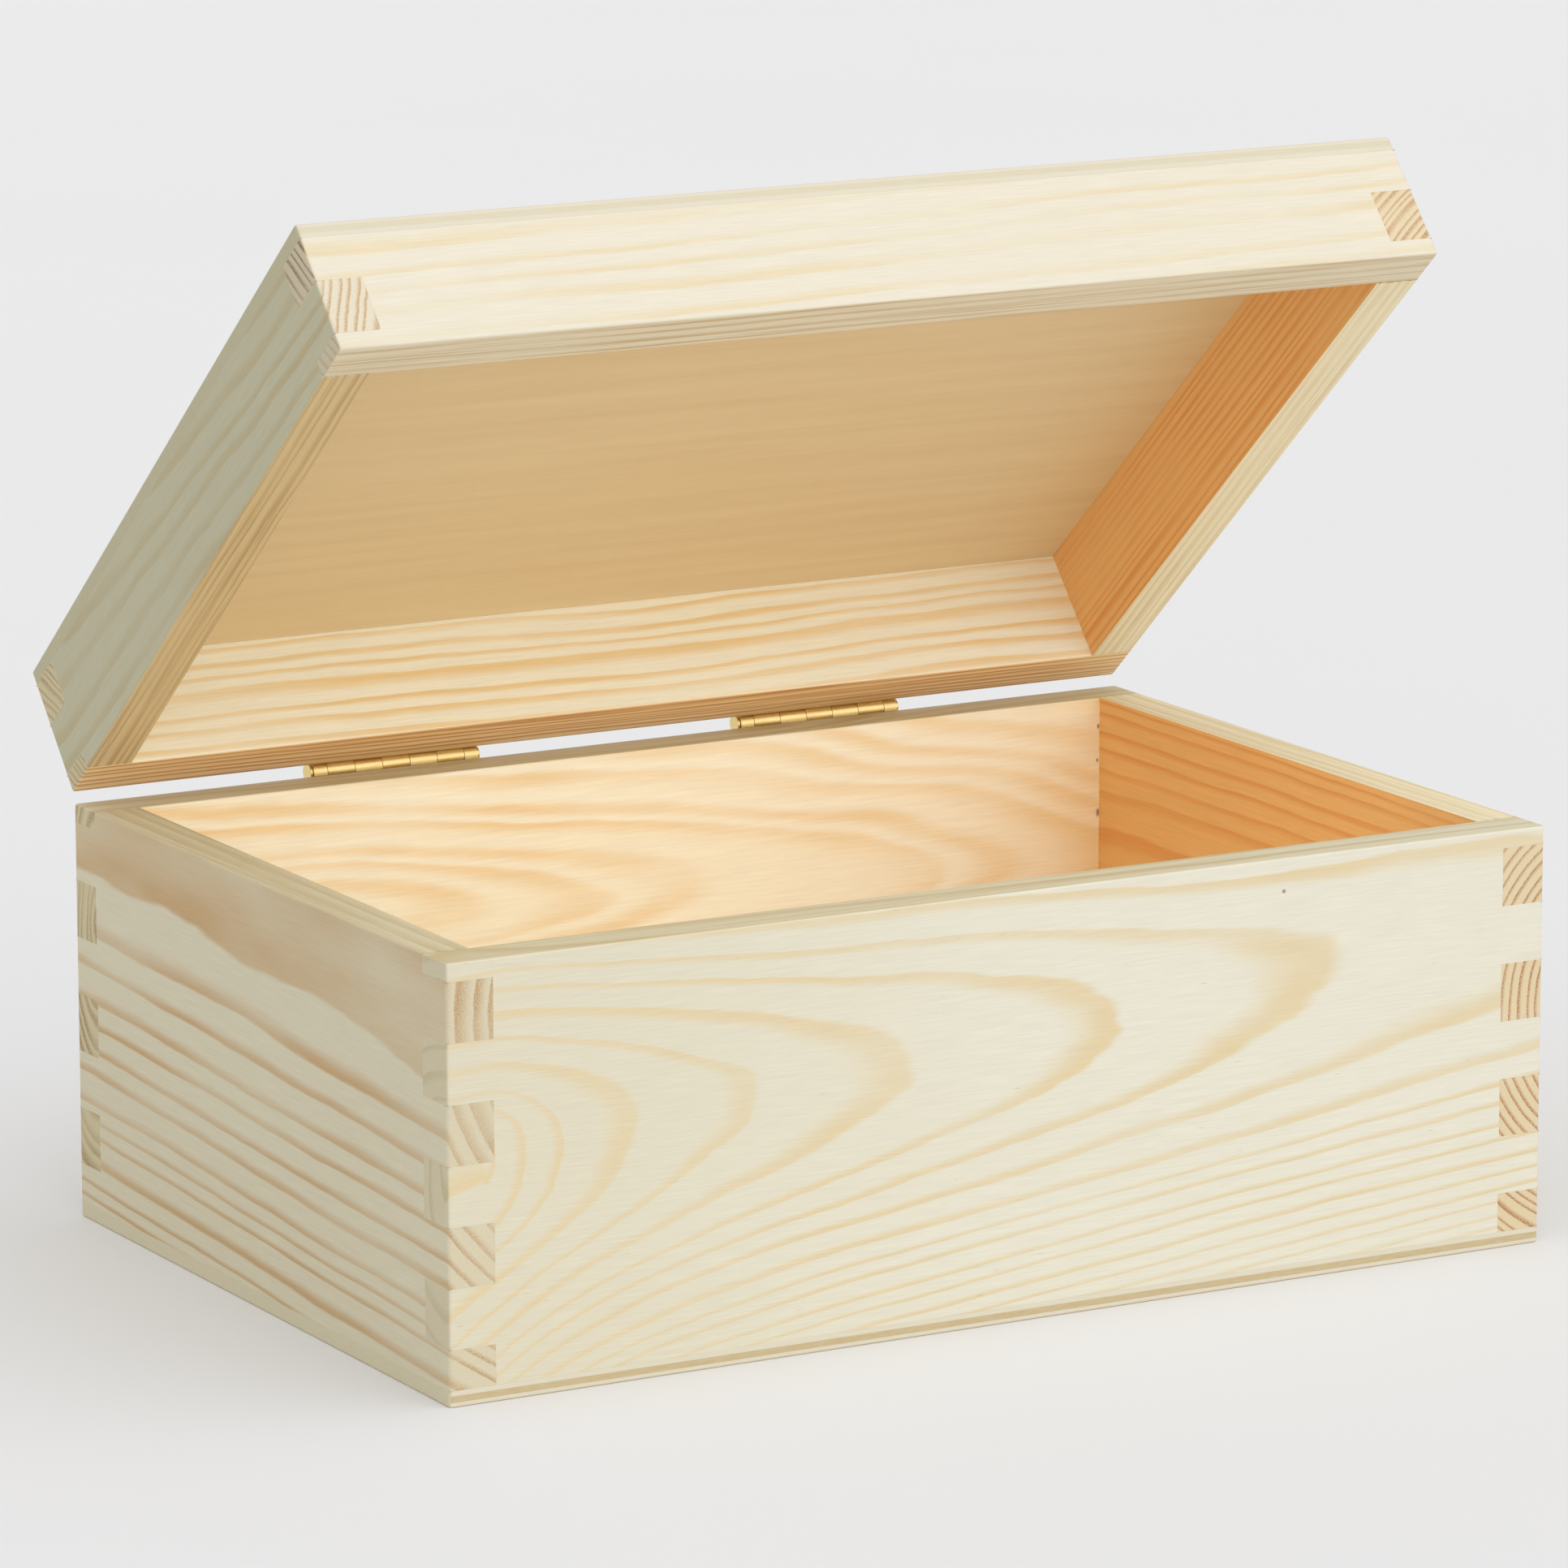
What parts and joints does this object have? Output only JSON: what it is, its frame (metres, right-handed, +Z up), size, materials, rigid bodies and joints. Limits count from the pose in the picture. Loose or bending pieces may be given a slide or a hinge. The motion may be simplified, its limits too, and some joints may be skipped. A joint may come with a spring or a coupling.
{
  "type": "hinged wooden box",
  "caption": "Small rectangular pine box with finger-jointed corners, plywood base and top panels, and a shallow lid on brass butt hinges along the back.",
  "frame": {"origin": "centre of the underside of the bottom panel, on the surface that the box stands on", "axes": "+X along the box's length, to the right seen from the front; -Y towards the front; +Z up"},
  "size_m": [0.3, 0.2234, 0.2642],
  "materials": {
    "pine_long_boards": "bare, sanded",
    "pine_end_boards": "bare, sanded",
    "plywood": "bare, sanded",
    "brass_leaf": "bright, pressed",
    "brass_pin": "bright, drawn",
    "brassed_screw": "bright, plated"
  },
  "bodies": {
    "base": {"base_front_board": "pine_long_boards", "base_back_board": "pine_long_boards", "base_left_board": "pine_end_boards", "base_right_board": "pine_end_boards", "base_bottom_panel": "plywood", "left_base_leaf": "brass_leaf", "right_base_leaf": "brass_leaf", "left_hinge_pin": "brass_pin", "right_hinge_pin": "brass_pin", "left_base_screw_1": "brassed_screw", "left_base_screw_2": "brassed_screw", "left_base_screw_3": "brassed_screw", "right_base_screw_1": "brassed_screw", "right_base_screw_2": "brassed_screw", "right_base_screw_3": "brassed_screw"},
    "lid": {"lid_front_board": "pine_long_boards", "lid_back_board": "pine_long_boards", "lid_left_board": "pine_end_boards", "lid_right_board": "pine_end_boards", "lid_top_panel": "plywood", "left_lid_leaf": "brass_leaf", "right_lid_leaf": "brass_leaf", "left_lid_screw_1": "brassed_screw", "left_lid_screw_2": "brassed_screw", "left_lid_screw_3": "brassed_screw", "right_lid_screw_1": "brassed_screw", "right_lid_screw_2": "brassed_screw", "right_lid_screw_3": "brassed_screw"}
  },
  "joints": [
    {"name": "lid_hinge", "type": "hinge", "parent": "base", "child": "lid", "pos_m": [0, 0.10285, 0.105], "axis": [-1, 0, 0], "range_deg": [-41, 147]}
  ]
}
